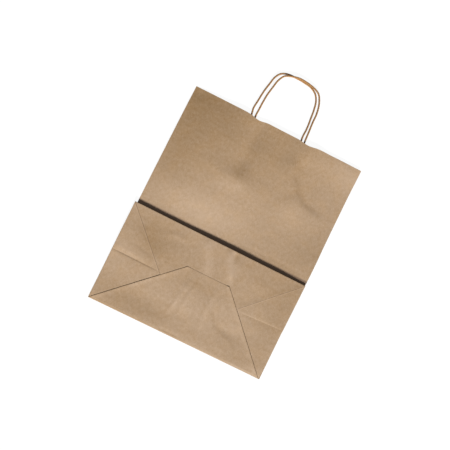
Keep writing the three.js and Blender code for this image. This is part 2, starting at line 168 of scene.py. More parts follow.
# Distances of close mesh lines from a fold, and steps between lines elsewhere, finest where they show
CLOSE_LINES = (0, 0.15, 0.4, 0.8, 1.5, 3.0)
MESH_STEP, SIDE_FLAP_STEP, COARSE_STEP, HIDDEN_STEP, HIDDEN_ROW = 2.6, 5.0, 8.0, 12.0, 10.0
HIDDEN_ROWS, BACK_ROWS = 12, 9
PATCH_STEP, PATCH_ROW = 1.6, 3.0
# The front panel may be seen from so far under the sprung edge
SEEN_UNDER = 4.0
# Nominal lengths of a gusset's ply and of its folded corner, for their rows
GUSSET_RUN, CORNER_RUN = 300.0, 100.0
# First and last place and step of the close rows over the creases of the side flaps
CREASE_ROWS = (86, 97, 0.7)
# Where each ply starts on the sheet map, in millimetres, so that no two show the same pattern
FRONT_SPOT, BACK_SPOT, STRIP_SPOT = (0, 0), (400, 0), (0, 420)
FAR_FLAP_SPOT, NEAR_FLAP_SPOT = (0, 900), (0, 1200)
GUSSET_SPOT, SIDE_FLAP_SPOT, SIDE_SHIFT, PATCH_SHIFT, PATCH_SPOT = 800, 1300, 200, 170, 30
# Points nearer than this in metres are merged, and faces that meet more sharply than this show an edge
MERGE_DISTANCE, SHARP_ANGLE = 1e-6, math.radians(40)

# Camera in the frame: place in metres, directions of the picture's right and top, lens and sensor in mm
CAMERA_PLACE = (-0.05551, -0.02366, 0.78913)
CAMERA_RIGHT = (0.89225, 0.4459, 0.07115)
CAMERA_TOP = (-0.44776, 0.89407, 0.01193)
LENS, SENSOR = 37.04, 36.0
# Half side of the floor and its height, in metres
FLOOR_REACH, FLOOR_LEVEL = 4.0, -0.0002
# Lamp: height over the floor, turn to the right of the bottom's side, and width
LAMP_HEIGHT, LAMP_TURN, LAMP_WIDTH = (math.radians(degrees) for degrees in (32, 23, 10))
# Light that the lamp and the sky give a flat sheet
LAMP_LIGHT, SKY_LIGHT = 0.75, 0.26


def linear(code):
    """sRGB hex code to the linear red, green and blue that shaders use."""
    shares = [((code >> shift) & 255) / 255 for shift in (16, 8, 0)]
    return tuple(s / 12.92 if s <= 0.04045 else ((s + 0.055) / 1.055) ** 2.4 for s in shares)


class BagSizes(bpy.types.PropertyGroup):
    """Sizes of the folded bag that a user would change."""

    width: bpy.props.FloatProperty(
        name="Width", description="Width of the panels and of the bottom",
        default=0.32, min=0.1, unit="LENGTH", precision=4)
    depth: bpy.props.FloatProperty(
        name="Depth", description="Depth of the block bottom and of both gussets",
        default=0.178, min=0.05, unit="LENGTH", precision=4)
    height: bpy.props.FloatProperty(
        name="Height", description="From the folded bottom edge to the mouth",
        default=BODY_HIGH[1] - BODY_LOW[1], min=0.2, unit="LENGTH", precision=4)
    paper: bpy.props.FloatProperty(
        name="Paper", description="Thickness of the kraft paper",
        default=0.00016, min=0.00005, unit="LENGTH", precision=5)
    gap: bpy.props.FloatProperty(
        name="Gap", description="Air between two loose layers of paper",
        default=0.0003, min=0.0001, unit="LENGTH", precision=5)
    edge_lift: bpy.props.FloatProperty(
        name="Edge lift", description="How far the turned-up bottom's edge springs up",
        default=0.0063, min=0.002, unit="LENGTH", precision=4)
    flap_past_middle: bpy.props.FloatProperty(
        name="Flap overlap", description="How far each bottom flap passes the middle of the bottom",
        default=0.03, min=0.005, unit="LENGTH", precision=4)
    patch_width: bpy.props.FloatProperty(
        name="Patch width", description="Width of the strips that hold the handles",
        default=PATCH_HIGH[0] - PATCH_LOW[0], min=0.05, unit="LENGTH", precision=4)
    patch_height: bpy.props.FloatProperty(
        name="Patch height", description="Height of the strips that hold the handles",
        default=PATCH_HIGH[1] - PATCH_LOW[1], min=0.02, unit="LENGTH", precision=4)
    cord_diameter: bpy.props.FloatProperty(
        name="Cord diameter", description="Thickness of the twisted handle cord",
        default=0.0032, min=0.001, unit="LENGTH", precision=4)
    twist_pitch: bpy.props.FloatProperty(
        name="Twist pitch", description="Length of cord in which one strand goes round once",
        default=0.0084, min=0.002, unit="LENGTH", precision=4)


class BagColours(bpy.types.PropertyGroup):
    """Colours of the bag and the stage."""

    kraft: bpy.props.FloatVectorProperty(
        name="Kraft", description="Middle tone of the bag's paper",
        default=linear(0xBCA083), subtype="COLOR", min=0, max=1)
    # Also the colour that the painted shade, the painted gap shade and the painted dark fold lines are drawn
    # towards
    kraft_dark: bpy.props.FloatVectorProperty(
        name="Kraft, dark", description="Darker clouds and fibres of the bag's paper",
        default=linear(0x98774D), subtype="COLOR", min=0, max=1)
    patch: bpy.props.FloatVectorProperty(
        name="Patch", description="Paper of the strips inside the mouth",
        default=linear(0xB09676), subtype="COLOR", min=0, max=1)
    cord: bpy.props.FloatVectorProperty(
        name="Cord", description="Crowns of the twisted paper cord",
        default=linear(0xA98153), subtype="COLOR", min=0, max=1)
    # Painted shade: the colour painted into the grooves between the strands
    cord_groove_shade: bpy.props.FloatVectorProperty(
        name="Cord groove", description="Grooves between the cord's strands",
        default=linear(0x977046), subtype="COLOR", min=0, max=1)
    floor: bpy.props.FloatVectorProperty(
        name="Floor", description="Pale floor under the bag",
        default=linear(0xFFFFFF), subtype="COLOR", min=0, max=1)


def ease(share):
    """0 to 1 with level ends: three squares less two cubes of the share."""
    t = np.clip(share, 0, 1)
    return t * t * (3 - 2 * t)


def plateau(value, low, high, slope):
    """1 inside a span, easing to 0 over a slope on each side."""
    return ease(np.minimum(value - low, high - value) / slope + 1)


def bell(distance, spread):
    """Bell curve: e to the minus half of the squared distance in spreads."""
    return np.exp(-0.5 * (distance / spread) ** 2)


def fold_curve(distance, reach):
    """Quarter round of a fold: the square root of 1 less the squared share of the reach still to go."""
    left = np.clip(1 - distance / reach, 0, 1)
    return np.sqrt(1 - left * left)


def swells(x, y, rows):
    """Sum of soft bells, each a product of one bell across and one along."""
    return sum(rise * bell(x - cx, sx) * bell(y - cy, sy) for cx, cy, sx, sy, rise in rows)


def bend(x, y, path, width, rise, kind="ridge"):
    """Height that one bend adds, fading at its ends: a bell of the distance to a line, a crease that is steep
    on one side and slow on the other, or a soft step over the line."""
    points = np.array(path, float)
    starts, steps = points[:-1], np.diff(points, axis=0)
    lengths = np.hypot(steps[:, 0], steps[:, 1])
    before = np.concatenate([[0], np.cumsum(lengths)[:-1]])
    dx, dy = x[..., None] - starts[:, 0], y[..., None] - starts[:, 1]
    along = np.clip((dx * steps[:, 0] + dy * steps[:, 1]) / lengths ** 2, 0, 1)
    gaps = np.hypot(dx - along * steps[:, 0], dy - along * steps[:, 1])
    nearest = np.argmin(gaps, axis=-1)[..., None]
    gap, run, side = (
        np.take_along_axis(values, nearest, -1)[..., 0]
        for values in (gaps, before + along * lengths, steps[:, 0] * dy - steps[:, 1] * dx))
    total = lengths.sum()
    fade = ease(np.minimum(run, total - run) / (BEND_FADE * total) + BEND_TRACE)
    if kind == "ridge":
        return rise * fade * bell(gap, width)
    if kind == "crease":
        return rise * fade * np.exp(-gap / np.where(side > 0, SLOW_SIDE * width, width))
    return -0.5 * rise * fade * np.tanh(np.sign(side) * gap / width) * bell(gap, STEP_REACH * width)


def bends(x, y, rows):
    """Sum of the heights of several bends."""
    return sum(bend(x, y, *row) for row in rows)


def waves(x, y, seed, count, shortest, longest, slope):
    """Sum of sine waves in seeded directions, each as high as its length times its slope over a full turn."""
    random = np.random.default_rng(seed)
    total = 0 * x
    for share in np.linspace(0, 1, count):
        length = shortest * (longest / shortest) ** share
        heading, start = random.uniform(0, math.pi), random.uniform(0, 2 * math.pi)
        run = (x * math.cos(heading) + y * math.sin(heading)) / length
        total = total + slope * length / (2 * math.pi) * np.sin(2 * math.pi * run + start)
    return total


def lines(low, high, step, dense=()):
    """Places from low to high a step apart, with closer ones at both ends and beside the dense places."""
    close = np.array(CLOSE_LINES)
    spots = [np.linspace(low, high, max(2, round((high - low) / step) + 1)), low + close, high - close]
    spots += [np.concatenate([place - close, place + close]) for place in dense]
    every = np.unique(np.round(np.concatenate(spots), 3))
    return every[(every >= low) & (every <= high)]


def at(value):
    """A line or a height that has one value everywhere."""
    return lambda x, y=None: value + 0 * x


class Layout:
    """Lines and heights of the folded bag in millimetres, from the middle of its folded bottom edge."""

    # Distances over which the layers' steps ease out, in the front panel and beside the patches
    PANEL_EASE, PATCH_SLOPE = 50.0, 3.0
    # The front panel over the legs: its slopes, and its slack between the two pairs of legs
    TENT_SLOPE, TENT_TAIL = 50.0, 110.0
    SLACK, SLACK_INSET, SLACK_SIDE, SLACK_TAIL = 0.06, 10.0, 14.0, 30.0
    # Half width of the ridge over a leg, and length of the leg between the patches
    RIDGE_HALF, LEG_GLUED = 2.2, 29.3
    # Reach of a hidden crease, of a visible fold and of the bottom's folded edge
    CREASE, FOLD, BOTTOM_FOLD = 4.0, 1.5, 1.8
    # Step of one pasted ply on another
    PASTE = 0.15
    # Where the front panel's swells begin, and over what distance
    SWELL_START, SWELL_FADE = 150.0, 36.0
    # Layers under the bottom at the end of its edge, a share of the way to its middle, and at its middle
    EDGE_LAYERS, INNER_LAYERS, MIDDLE_LAYERS = 2.4, 3.5, 6.7
    EDGE_REACH, INNER_SHARE = 4.0, 1 / 6
    # How far the bottom and the strip under it stay below the sprung edge, and how far they turn to meet
    BOTTOM_DROP, STRIP_DROP, FAR_TURN = 1.0, 0.9, 0.45
    # How far the bottom turns down at its side folds, and the way from its edge over which that begins
    SIDE_TURN, SIDE_START = 0.4, 8.0
    # Distances from both edges of the bottom over which its swells and its bends begin
    CALM = (14.0, 22.0)
    STILL = (3.0, 6.0)
    CORNER_EASE = 12.0
    # Slanted folds of the near flap: millimetres along for each millimetre across, on both sides
    NEAR_SLOPE_LEFT = 0.945
    NEAR_SLOPE_RIGHT = 1.035
    # How the flaps spring up: rise and reach along the slanted folds and at the near flap's end
    NEAR_SPRING, NEAR_SPRING_MORE, NEAR_REACH = 0.65, 0.2, 3.2
    END_SPRING, END_REACH = 0.04, 3.0
    FAR_SPRING, FAR_REACH, FAR_FREE = 0.3, 3.6, 5.0
    NEAR_TUCK, FAR_TUCK, TUCK_REACH = 0.3, 0.1, 0.8
    OVERLAP_EASE = 12.0
    PATCH_CENTRE = 0.5
    PATCH_BELOW_MOUTH = 6.0
    FRONT_FOLD_PAST_MIDDLE = 1.5

    def __init__(self, sizes):
        self.half_width = sizes.width / MM / 2
        self.depth = sizes.depth / MM
        self.half_depth = self.depth / 2
        self.height = sizes.height / MM
        self.paper = sizes.paper / MM
        self.layer = (sizes.paper + sizes.gap) / MM
        self.edge_lift = sizes.edge_lift / MM
        self.inner_fold = self.half_width - self.half_depth
        self.flap_length = self.half_depth + sizes.flap_past_middle / MM
        self.far_flap_end = self.depth - self.flap_length
        self.front_fold = self.half_depth + self.FRONT_FOLD_PAST_MIDDLE
        self.body_left = BODY_OFFSET - self.half_width
        self.body_right = BODY_OFFSET + self.half_width
        self.ridge_rise = (sizes.cord_diameter + sizes.gap) / MM
        self.patch_top = self.height - self.PATCH_BELOW_MOUTH
        self.patch_bottom = self.patch_top - sizes.patch_height / MM
        self.patch_left = self.PATCH_CENTRE - sizes.patch_width / MM / 2
        self.patch_right = self.PATCH_CENTRE + sizes.patch_width / MM / 2
        self.leg_end = self.patch_top - self.LEG_GLUED

    def over_patch(self, x, y, slope):
        """1 over the patches, easing to 0 beside and below them."""
        across = plateau(x, self.patch_left, self.patch_right, slope)
        return across * ease((y - self.patch_bottom) / slope + 1)

    def over_gusset(self, x, slope):
        """1 over a gusset, easing to 0 inside its inner fold."""
        return ease((np.abs(x - BODY_OFFSET) - self.inner_fold) / slope + 1)

    def ridge(self, x, y, legs, slope, tail):
        """1 over a handle's legs, easing to 0 beside them and below their ends."""
        across = [plateau(x, leg - self.RIDGE_HALF, leg + self.RIDGE_HALF, slope) for leg in legs]
        return np.maximum.reduce(across) * ease((y - self.leg_end) / tail + 1)

    def back_ridge(self, x, y):
        """Ridge that the back handle's legs press."""
        return self.ridge(x, y, BACK_LEGS, self.PATCH_SLOPE, self.PATCH_SLOPE)

    def both_ridges(self, x, y):
        """Ridge that all four legs press."""
        return self.ridge(x, y, FRONT_LEGS + BACK_LEGS, self.PATCH_SLOPE, self.PATCH_SLOPE)

    def mouth(self, x):
        """Line of the mouth: the bag's height less the dips, each a bell."""
        return self.height - sum(depth * bell(x - place, spread) for place, spread, depth in MOUTH_DIPS)

    def tent(self, x, y):
        """The front panel spans from leg to leg: 1 between the outer legs, easing down beside and below them,
        and a little slack between the two pairs."""
        legs = FRONT_LEGS + BACK_LEGS
        low, high = min(legs) - self.RIDGE_HALF, max(legs) + self.RIDGE_HALF
        past_end = y - self.leg_end
        wide = plateau(x, low, high, self.TENT_SLOPE) * ease(past_end / self.TENT_TAIL + 1)
        inside = np.minimum(x - low - self.SLACK_INSET, high - self.SLACK_INSET - x)
        return wide - self.SLACK * ease(inside / self.SLACK_SIDE) * ease(past_end / self.SLACK_TAIL + 1)

    def panel_plain(self, x, y):
        """Lower face of the front panel: the layers under it, the tent over the legs, swells, bends and
        waves."""
        room = 1 + 2 * self.over_gusset(x, self.PANEL_EASE) + 4 * self.over_patch(x, y, self.PANEL_EASE)
        soft = ease((y - self.SWELL_START) / self.SWELL_FADE) * (
            swells(x, y, PANEL_SWELLS) + bends(x, y, PANEL_BENDS) + waves(x, y, *PANEL_WAVES))
        return self.layer * room + self.ridge_rise * self.tent(x, y) + soft

    def to_side(self, x):
        """Distance to the nearer side edge of the body."""
        return self.half_width - np.abs(x - BODY_OFFSET)

    def panel(self, x, y):
        """Front panel: its plain height, turning down by half a layer at both side edges."""
        turn = 1 - fold_curve(self.to_side(x), self.FOLD)
        return self.panel_plain(x, y) - 0.5 * self.layer * turn

    def bottom(self, x, y):
        """Lower face of the turned-up bottom: a rising profile, rounded at its folded edges, with its
        wrinkles."""
        under = self.layer * np.array([0, self.EDGE_LAYERS, self.INNER_LAYERS, self.MIDDLE_LAYERS])
        profile = np.interp(
            y, [0, self.EDGE_REACH, self.half_depth * self.INNER_SHARE, self.half_depth, self.depth],
            [*under, self.edge_lift - self.BOTTOM_DROP])
        near = fold_curve(y, self.BOTTOM_FOLD)
        far = self.FAR_TURN * (1 - fold_curve(self.depth - y, self.FOLD))
        side = self.SIDE_TURN * (1 - fold_curve(self.half_width - np.abs(x), self.FOLD))
        side = side * ease(y / self.SIDE_START)
        calm, still = (
            ease(y / start) * ease((self.depth - y) / end) for start, end in (self.CALM, self.STILL))
        soft = swells(x, y, BOTTOM_SWELLS) + waves(x, y, *BOTTOM_WAVES)
        return profile + near - far - side + calm * soft + still * bends(x, y, BOTTOM_BENDS)

    def strip(self, x, y):
        """Strip under the turned-up bottom: a straight rise from the hidden fold, rounded into the sprung
        edge."""
        start = self.panel_plain(x, np.full_like(y, self.front_fold))
        share = (y - self.front_fold) / (self.depth - self.front_fold)
        level = self.edge_lift - self.STRIP_DROP
        rise = self.FAR_TURN * (1 - fold_curve(self.depth - y, self.FOLD))
        return start + (level - start) * share + rise

    def gusset_level(self, x, y):
        """Height of a gusset's back ply away from its folds: above the back panel, patches and legs."""
        layers = 1 + 2 * self.over_patch(x, y, self.PATCH_SLOPE)
        return self.layer * layers + self.ridge_rise * self.back_ridge(x, y)

    def gusset_back(self, x, y):
        """Back ply of a gusset, turning down to the back panel at the side fold."""
        return self.gusset_level(x, y) * fold_curve(self.to_side(x), self.CREASE)

    def gusset_front(self, x, y):
        """Front ply of a gusset: one layer up, meeting the front panel outside and the back ply inside."""
        at_side = 1 - fold_curve(self.to_side(x), self.CREASE)
        at_inner = 1 - fold_curve(np.abs(x - BODY_OFFSET) - self.inner_fold, self.CREASE)
        level = self.gusset_level(x, y) + self.layer
        return level + (self.panel(x, y) - level) * at_side - self.layer * at_inner

    def near_edge(self, x):
        """Slanted folds of the near flap, which was folded a little out of true."""
        return (self.half_width - np.abs(x)) * np.where(x < 0, self.NEAR_SLOPE_LEFT, self.NEAR_SLOPE_RIGHT)

    def far_edge(self, x):
        """Slanted folds of the far flap."""
        return self.depth - self.half_width + np.abs(x)

    def spread(self, part, topmost=False):
        """A part of the turned-up bottom with its x stretched in proportion to y, so that its side folds
        stand out, and how far inside the outlines of the far and the near flap each of its points lies."""
        points, faces, places = part
        across, along = points[:, 0], points[:, 1]
        inside_far = (along - self.far_edge(across)) / math.sqrt(2)
        if topmost:
            inside_far = np.full_like(along, FAR_AWAY)
        inside_near = np.minimum((self.near_edge(across) - along) / math.sqrt(2), self.flap_length - along)
        stretch = 1 + SIDE_SPREAD / self.half_width * np.clip(along / self.depth, 0, 1)
        spread = np.column_stack([across * stretch, points[:, 1:]])
        return spread, faces, places, np.column_stack([inside_far, inside_near])

    def corner_upper(self, x, y):
        """Upper ply of a gusset corner: a third of the way from the strip to the bottom."""
        own = self.strip(x, y) + (self.bottom(x, y) - self.strip(x, y)) / 3
        at_low = 1 - fold_curve(y - self.half_depth, self.CREASE)
        gusset = self.gusset_front(x + np.sign(x) * BODY_OFFSET, np.full_like(y, self.half_depth))
        return own + (gusset - own) * at_low

    def corner_lower(self, x, y):
        """Lower ply of a gusset corner: two thirds of the way up, meeting its neighbours at its three
        folds."""
        near_fold, far_fold = self.half_width - np.abs(x), self.far_edge(x)
        strip, bottom = self.strip(x, y), self.bottom(x, y)
        under = (self.layer + bottom) / 2
        past_middle = ease((y - self.half_depth) / self.CORNER_EASE)
        own = under + (strip + (bottom - strip) * 2 / 3 - under) * past_middle
        at_near = 1 - fold_curve(y - near_fold, self.CREASE)
        own = own + (self.layer - own) * at_near
        at_far = 1 - fold_curve(far_fold - y, self.CREASE)
        own = own + (self.corner_upper(x, y) - own) * at_far
        at_side = 1 - fold_curve(self.half_width - np.abs(x), self.CREASE)
        return own + (bottom - own) * at_side

    def tucked_corner(self, x, y):
        """Slanted corner pasted on a side flap."""
        return self.bottom(x, y) + self.PASTE

    def far_flap(self, x, y):
        """Far flap, pasted on the side flaps and a little sprung along its slanted folds."""
        slant = (y - self.far_edge(x)) / math.sqrt(2)
        free = 1 - ease((self.near_edge(x) - y) / self.FAR_FREE)
        sprung = self.FAR_SPRING * free * bell(slant, self.FAR_REACH)
        tuck = self.FAR_TUCK * (1 - fold_curve(slant, self.TUCK_REACH))
        return self.bottom(x, y) + 2 * self.PASTE + (sprung - tuck)

    def near_flap(self, x, y):
        """Near flap, above the far one, a little sprung along its slanted folds and at its end, most of all
        on the right."""
        over = self.PASTE * (2 + ease((y - self.far_flap_end) / self.OVERLAP_EASE + 1))
        slant = (self.near_edge(x) - y) / math.sqrt(2)
        sprung = (self.NEAR_SPRING + self.NEAR_SPRING_MORE * np.sign(x)) * bell(slant, self.NEAR_REACH)
        sprung = sprung + self.END_SPRING * bell(self.flap_length - y, self.END_REACH)
        tuck = self.NEAR_TUCK * (1 - fold_curve(slant, self.TUCK_REACH))
        return self.bottom(x, y) + over + sprung - tuck


def ply(across, shares, low, high, height, thickness, spot):
    """One ply of paper: y runs from a low to a high line by shares, z is a height, and a copy one thickness
    up closes it."""
    x = np.broadcast_to(across[:, None], (len(across), len(shares)))
    y = low(x) + (high(x) - low(x)) * shares[None, :]
    z = height(x, y)
    lower = np.stack([x, y, z], -1).reshape(-1, 3)
    upper = lower + (0, 0, thickness)
    rows, columns = len(across), len(shares)
    index = np.arange(rows * columns).reshape(rows, columns)
    a, b, c, d = index[:-1, :-1], index[1:, :-1], index[1:, 1:], index[:-1, 1:]
    top = np.stack([a, b, c, d], -1).reshape(-1, 4) + rows * columns
    base = np.stack([a, d, c, b], -1).reshape(-1, 4)
    rim = np.concatenate([index[:, 0], index[-1, 1:], index[-2::-1, -1], index[0, -2::-1]])
    ahead = np.roll(rim, -1)[:-1]
    rim = rim[:-1]
    wall = np.stack([rim, ahead, ahead + rows * columns, rim + rows * columns], -1)
    sheet = np.stack([x.ravel() + spot[0], y.ravel() + spot[1]], -1) * MM
    return np.concatenate([lower, upper]), np.concatenate([base, top, wall]), np.tile(sheet, (2, 1))


def in_frame(points):
    """Points in millimetres from the bottom edge's middle, as metres in the shared frame."""
    return (np.asarray(points, float) + FRAME_SHIFT) * MM


def set_attributes(mesh, **attributes):
    """Gives a mesh values at its points, by name."""
    for label, values in attributes.items():
        mesh.attributes.new(label, "FLOAT", "POINT").data.foreach_set("value", values.astype(np.float32))


def dress_mesh(mesh, places, **attributes):
    """Gives a mesh its sheet map, its attributes and smooth faces."""
    corners = np.empty(len(mesh.loops), np.int32)
    mesh.loops.foreach_get("vertex_index", corners)
    mesh.uv_layers.new(name="sheet").uv.foreach_set("vector", places[corners].astype(np.float32).ravel())
    set_attributes(mesh, **attributes)
    mesh.polygons.foreach_set("use_smooth", np.ones(len(mesh.polygons), bool))


def build_mesh(name, parts):
    """Joins parts of points, four-sided faces and sheet places into one mesh with a map of those places, and
    with the distances inside the two flaps where a part has them."""
    points, faces, places, insides, base = [], [], [], [], 0
    for part_points, part_faces, part_places, *more in parts:
        points.append(part_points)
        faces.append(part_faces + base)
        places.append(part_places)
        insides.append(more[0] if more else np.full((len(part_points), 2), FAR_AWAY))
        base += len(part_points)
    points, faces, places, insides = (np.concatenate(rows) for rows in (points, faces, places, insides))
    mesh = bpy.data.meshes.new(name)
    mesh.from_pydata(in_frame(points), [], faces.tolist())
    dress_mesh(mesh, places, **{label: inside for (label, *_), inside in zip(FLAP_PAINTED_LINES, insides.T)})
    work = bmesh.new()
    work.from_mesh(mesh)
    bmesh.ops.remove_doubles(work, verts=work.verts, dist=MERGE_DISTANCE)
    work.to_mesh(mesh)
    work.free()
    mesh.set_sharp_from_angle(angle=SHARP_ANGLE)
    return mesh


def add_piece(mesh, finish, node):
    """Puts a mesh into the scene as a piece with its material, in place of one node of the solids."""
    mesh.materials.append(finish)
    piece = bpy.data.objects.new(mesh.name, mesh)
    bpy.context.scene.collection.objects.link(piece)
    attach(piece, "root")
    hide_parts(node)
    return piece


def add_node(tree, kind, settings=None, values=None, links=None):
    """Adds a node, sets its properties and its sockets' values, and links other sockets into it."""
    made = tree.nodes.new(kind)
    for name, value in (settings or {}).items():
        setattr(made, name, value)
    for socket, value in (values or {}).items():
        made.inputs[socket].default_value = value
    for socket, source in (links or {}).items():
        tree.links.new(source, made.inputs[socket])
    return made


def new_material(name):
    """An empty node material with its output, and its tree."""
    material = bpy.data.materials.new(name)
    material.use_nodes = True
    material.node_tree.nodes.clear()
    return material, material.node_tree


def noise(tree, place, cell, detail=2.0, roughness=0.6, distortion=0.0):
    """Noise whose cells are so many millimetres wide."""
    return add_node(
        tree, "ShaderNodeTexNoise",
        values={"Scale": 1 / (cell * MM), "Detail": detail, "Roughness": roughness, "Distortion": distortion},
        links={"Vector": place}).outputs["Fac"]


def attribute(tree, name):
    """Value of one of the mesh's attributes."""
    return add_node(tree, "ShaderNodeAttribute", {"attribute_name": name}).outputs["Fac"]


def moved(tree, source, **values):
    """Places shifted, turned or stretched."""
    return add_node(tree, "ShaderNodeMapping", values=values, links={"Vector": source}).outputs["Vector"]


def maths(tree, operation, *terms, clamp=False):
    """Result of one operation on values and sockets."""
    values = {place: term for place, term in enumerate(terms) if isinstance(term, float)}
    links = {place: term for place, term in enumerate(terms) if not isinstance(term, float)}
    return add_node(
        tree, "ShaderNodeMath", {"operation": operation, "use_clamp": clamp}, values, links).outputs["Value"]


def span(tree, source, low, high, start=0.0, end=1.0, kind="LINEAR"):
    """Maps the values from low to high onto those from start to end."""
    return add_node(
        tree, "ShaderNodeMapRange", {"interpolation_type": kind},
        {"From Min": low, "From Max": high, "To Min": start, "To Max": end},
        {"Value": source}).outputs["Result"]


def blend(tree, share, under, over, kind="MIX"):
    """Lays a colour over another, which is a colour or a socket, by a share."""
    values, links = {"B": over}, {"Factor": share}
    (values if isinstance(under, tuple) else links)["A"] = under
    return add_node(
        tree, "ShaderNodeMix", {"data_type": "RGBA", "blend_type": kind}, values, links).outputs["Result"]


def tinted(colour, *shares):
    """A colour times one share, or times one share for each of its channels."""
    return (*(part * share for part, share in zip(colour, shares * 3)), 1)


def surface(tree, colour, height, strength, distance, **values):
    """Ends a tree with a shader of the given values, over fine relief of so many millimetres."""
    relief = add_node(
        tree, "ShaderNodeBump", values={"Strength": strength, "Distance": distance * MM},
        links={"Height": height})
    shader = add_node(
        tree, "ShaderNodeBsdfPrincipled",
        values={label.replace("_", " "): value for label, value in values.items()},
        links={"Base Color": colour, "Normal": relief.outputs["Normal"]})
    add_node(tree, "ShaderNodeOutputMaterial", links={"Surface": shader.outputs["BSDF"]})


def kraft_material(name, colour, dark, seed):
    """Uncoated kraft paper, machine finished on a felt: soft clouds of fibre, short fibres and specks, which
    give the eye a warm matt sheet that is never quite even. Where the mesh has the attributes for it, it also
    carries painted light and shade: darker and paler places, painted highlights on crests and past the folds,
    and painted shade in the gaps."""
    material, tree = new_material(name)
    sheet = add_node(tree, "ShaderNodeUVMap", {"uv_map": "sheet"}).outputs["UV"]
    place = moved(tree, sheet, Location=(seed, 2 * seed, 0))
    # Clouds where the pulp settled thicker, about 6 mm across
    clouds = noise(tree, place, 6, detail=4.0, roughness=0.7)
    # Fibres 0.45 mm wide and 4.5 mm long along the web, coarser than real ones so that they show
    fibres = noise(tree, moved(tree, place, Scale=(1, 0.1, 1), Rotation=(0, 0, 0.06)), 0.45, distortion=0.4)
    pulp = maths(tree, "MULTIPLY_ADD", clouds, 0.8, fibres)
    # Painted light and shade over the sheet: darker and paler places and lines, given where the mesh has it
    toned = maths(tree, "MULTIPLY_ADD", attribute(tree, "tone"), 0.35, pulp)
    paper = blend(tree, span(tree, toned, 0.55, 1.35), (*colour, 1), (*dark, 1))
    # Sparse dark specks of bark, about 0.5 mm across and 7 mm apart
    specks = add_node(
        tree, "ShaderNodeTexVoronoi", {"feature": "F1"}, {"Scale": 1 / (7 * MM), "Randomness": 1.0},
        {"Vector": place}).outputs["Distance"]
    paper = blend(tree, span(tree, specks, 0.035, 0.06, 0.35, 0.0), paper, tinted(dark, 0.45))
    # Slow drift to a warmer brown, in patches about 25 mm across
    drift = span(tree, noise(tree, place, 25, detail=3.0), 0.45, 0.65, 0.0, 0.55)
    paper = blend(tree, drift, paper, (1.03, 0.99, 0.9, 1), "MULTIPLY")
    # Painted shade in the deep gap under the sprung edge: a darker colour tinted by the paper, for the little
    # light that comes in
    paper = blend(tree, attribute(tree, "deep"), paper, tinted(dark, 0.2, 0.13, 0.15))
    # Painted shade: a soft dark line in the gap beside each flap's fold; painted highlight: a paler band past
    # it
    for label, painted_shade_share, painted_highlight_share in FLAP_PAINTED_LINES:
        inside = attribute(tree, label)
        for centre, reach, share, tint in (
            (-0.2, 0.95, painted_shade_share, tinted(dark, 0.3, 0.26, 0.24)),
            (-1.5, 1.2, painted_highlight_share, tinted(colour, 1.35)),
        ):
            off = maths(tree, "ABSOLUTE", maths(tree, "SUBTRACT", inside, centre))
            paper = blend(tree, span(tree, off, 0.0, reach, share, 0.0, "SMOOTHSTEP"), paper, tint)
    # Felt marks and fibres stand up about 0.04 mm
    surface(tree, paper, pulp, 0.35, 0.04, Roughness=0.6, IOR=1.5, Specular_IOR_Level=0.75)
    return material


def cord_material(name, crown, groove):
    """Twisted kraft paper cord, wound from wetted strip: smooth crowns that catch the light, and grooves
    between the strands that are shallow in the mesh and painted darker as painted shade, which give the eye
    fine slanting stripes."""
    material, tree = new_material(name)
    around = add_node(tree, "ShaderNodeUVMap", {"uv_map": "sheet"}).outputs["UV"]
    # Creases of the strip, about 0.5 mm wide along the strands
    creases = noise(tree, moved(tree, around, Scale=(1, 0.3, 1)), 0.5)
    depth = maths(tree, "MULTIPLY_ADD", creases, 0.35, attribute(tree, "groove"), clamp=True)
    # Painted shade: the grooves between the strands are painted in the darker groove colour
    colour = blend(tree, span(tree, depth, 0.12, 1.1), (*crown, 1), (*groove, 1))
    surface(
        tree, colour, creases, 0.4, 0.1, Roughness=0.75, IOR=1.47, Specular_IOR_Level=0.25,
        Subsurface_Weight=0.5, Subsurface_Radius=(1.0, 0.6, 0.35), Subsurface_Scale=0.002)
    return material


def floor_material(name, colour):
    """Matt white sweep of paper: it shows as white to the eye and in gloss with a faint shadow, and gives the
    object the light that a white sweep throws back."""
    material, tree = new_material(name)
    rays = add_node(tree, "ShaderNodeLightPath").outputs
    seen = maths(tree, "MAXIMUM", rays["Is Camera Ray"], rays["Is Glossy Ray"])
    seen = maths(tree, "MAXIMUM", seen, rays["Is Transmission Ray"])
    faint, matt = (
        add_node(tree, "ShaderNodeBsdfDiffuse", values={"Color": tinted(colour, share)}).outputs["BSDF"]
        for share in (0.12, 0.85))
    glow = add_node(tree, "ShaderNodeEmission", values={"Color": (*colour, 1), "Strength": 0.93})
    shown = add_node(tree, "ShaderNodeAddShader", links={0: faint, 1: glow.outputs["Emission"]})
    both = add_node(tree, "ShaderNodeMixShader", links={0: seen, 1: matt, 2: shown.outputs["Shader"]})
    add_node(tree, "ShaderNodeOutputMaterial", links={"Surface": both.outputs["Shader"]})
    return material


